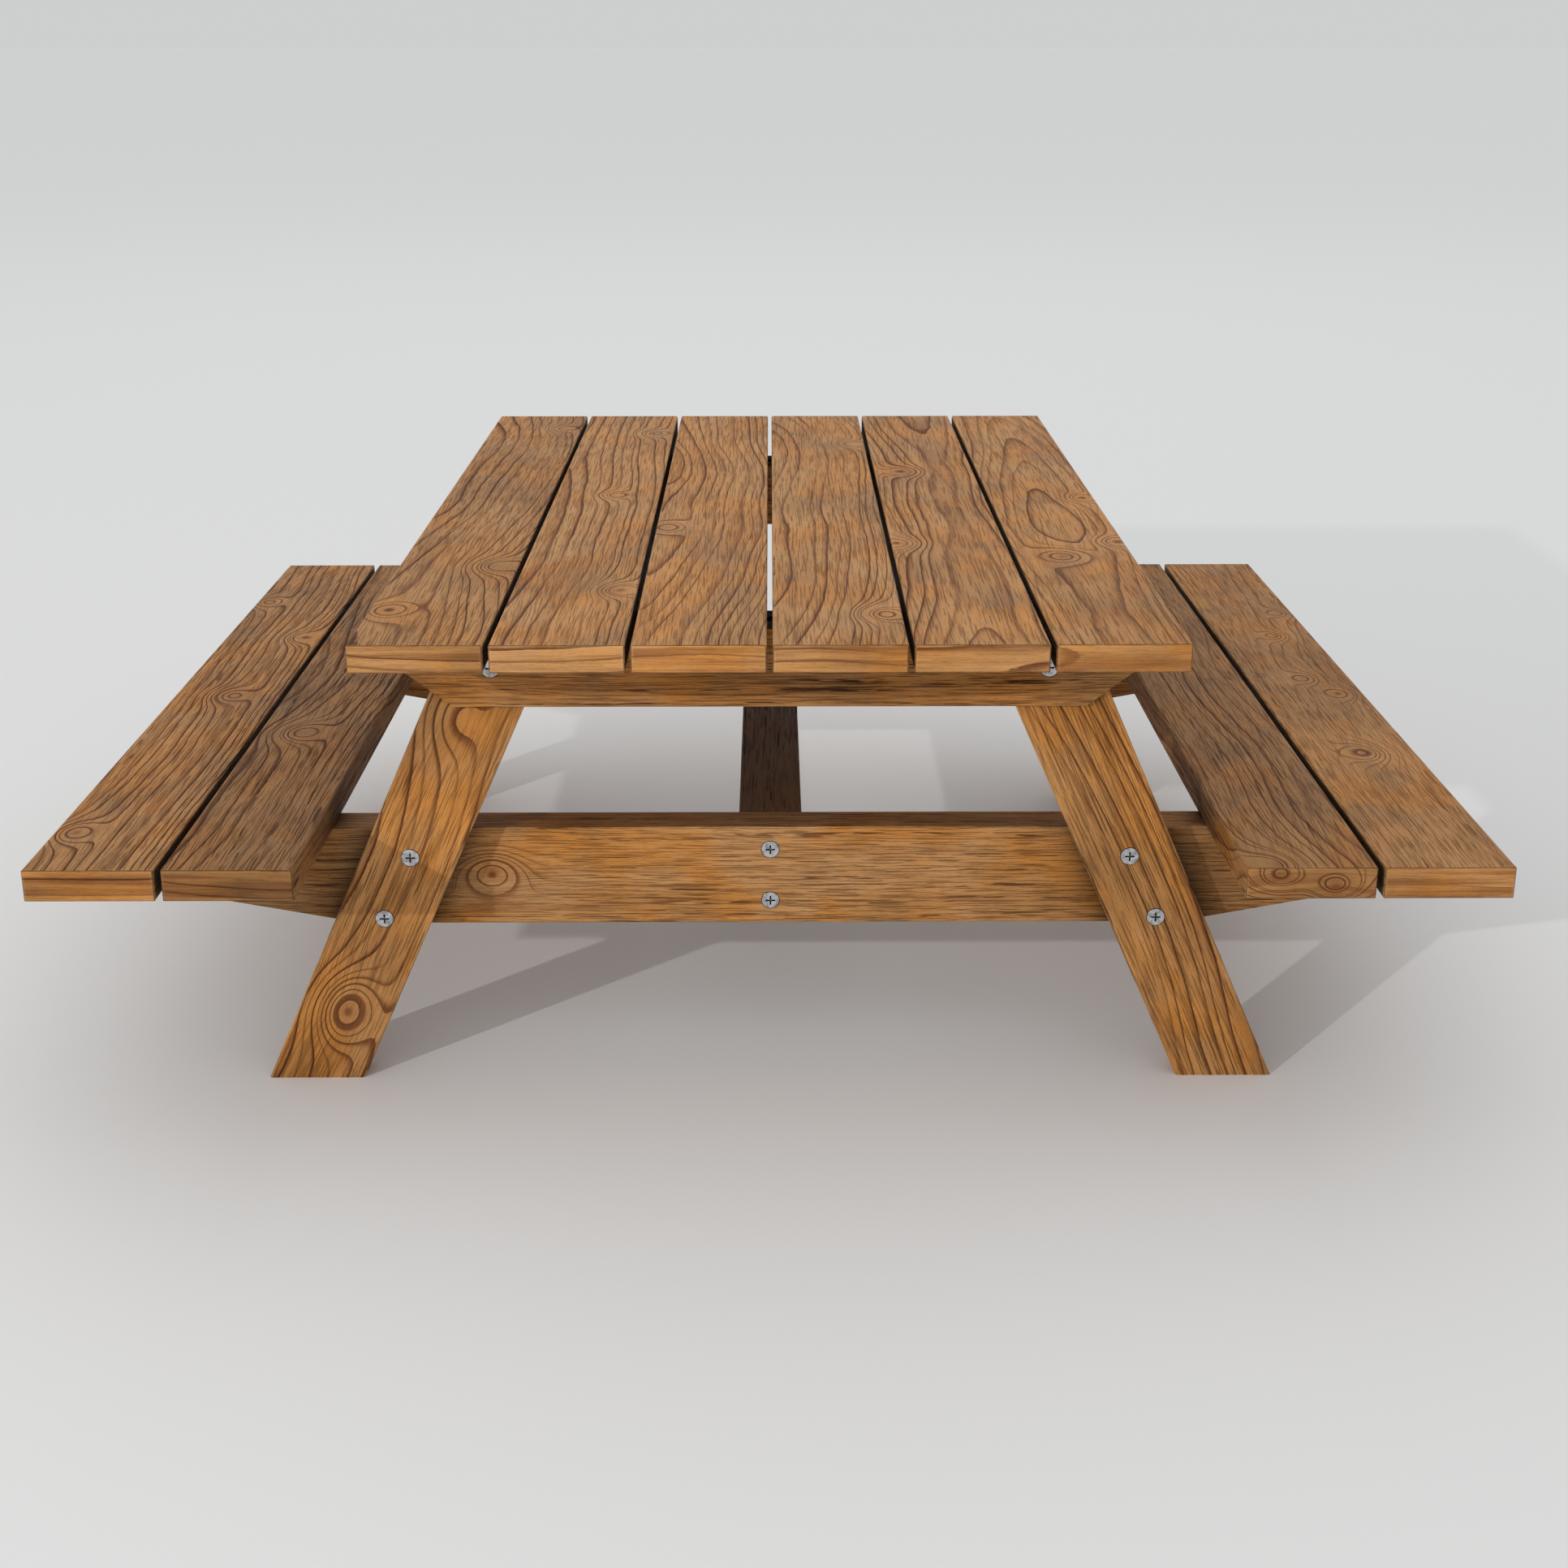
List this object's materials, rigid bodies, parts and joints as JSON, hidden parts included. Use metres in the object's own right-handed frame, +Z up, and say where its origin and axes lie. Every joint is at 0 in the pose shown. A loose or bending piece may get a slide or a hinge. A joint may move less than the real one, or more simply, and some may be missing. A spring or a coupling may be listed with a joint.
{
  "type": "picnic table",
  "caption": "Wooden A-frame picnic table: a slatted board top over splayed end frames, with a two-board bench attached along each side.",
  "frame": {"origin": "on the floor, under the middle of the table", "axes": "+X across the table from bench to bench, +Y along the boards towards the rear end frame, +Z up"},
  "size_m": [2.064, 1.8, 0.76],
  "materials": {
    "top_boards": "oiled planed timber, slightly greyed",
    "bench_boards": "oiled planed timber, slightly greyed",
    "legs": "oiled planed timber",
    "top_bearers": "oiled planed timber",
    "seat_bearers": "oiled planed timber",
    "stretcher": "oiled planed timber",
    "frame_screws": "zinc-plated, satin",
    "board_screws": "zinc-plated, satin"
  },
  "bodies": {
    "root": {"top_board_1": "top_boards", "top_board_2": "top_boards", "top_board_3": "top_boards", "top_board_4": "top_boards", "top_board_5": "top_boards", "top_board_6": "top_boards", "seat_board_left_outer": "bench_boards", "seat_board_left_inner": "bench_boards", "seat_board_right_inner": "bench_boards", "seat_board_right_outer": "bench_boards", "leg_front_left": "legs", "leg_front_right": "legs", "leg_rear_left": "legs", "leg_rear_right": "legs", "top_bearer_front_outer": "top_bearers", "top_bearer_front_inner": "top_bearers", "top_bearer_rear_inner": "top_bearers", "top_bearer_rear_outer": "top_bearers", "seat_bearer_front": "seat_bearers", "seat_bearer_rear": "seat_bearers", "centre_stretcher": "stretcher", "leg_screws_front": "frame_screws", "leg_screws_rear": "frame_screws", "stretcher_screws_front": "frame_screws", "stretcher_screws_rear": "frame_screws", "top_bearer_screws_front": "frame_screws", "top_bearer_screws_rear": "frame_screws", "top_board_screws_front": "board_screws", "top_board_screws_rear": "board_screws", "seat_board_screws_front": "board_screws", "seat_board_screws_rear": "board_screws"}
  },
  "joints": []
}
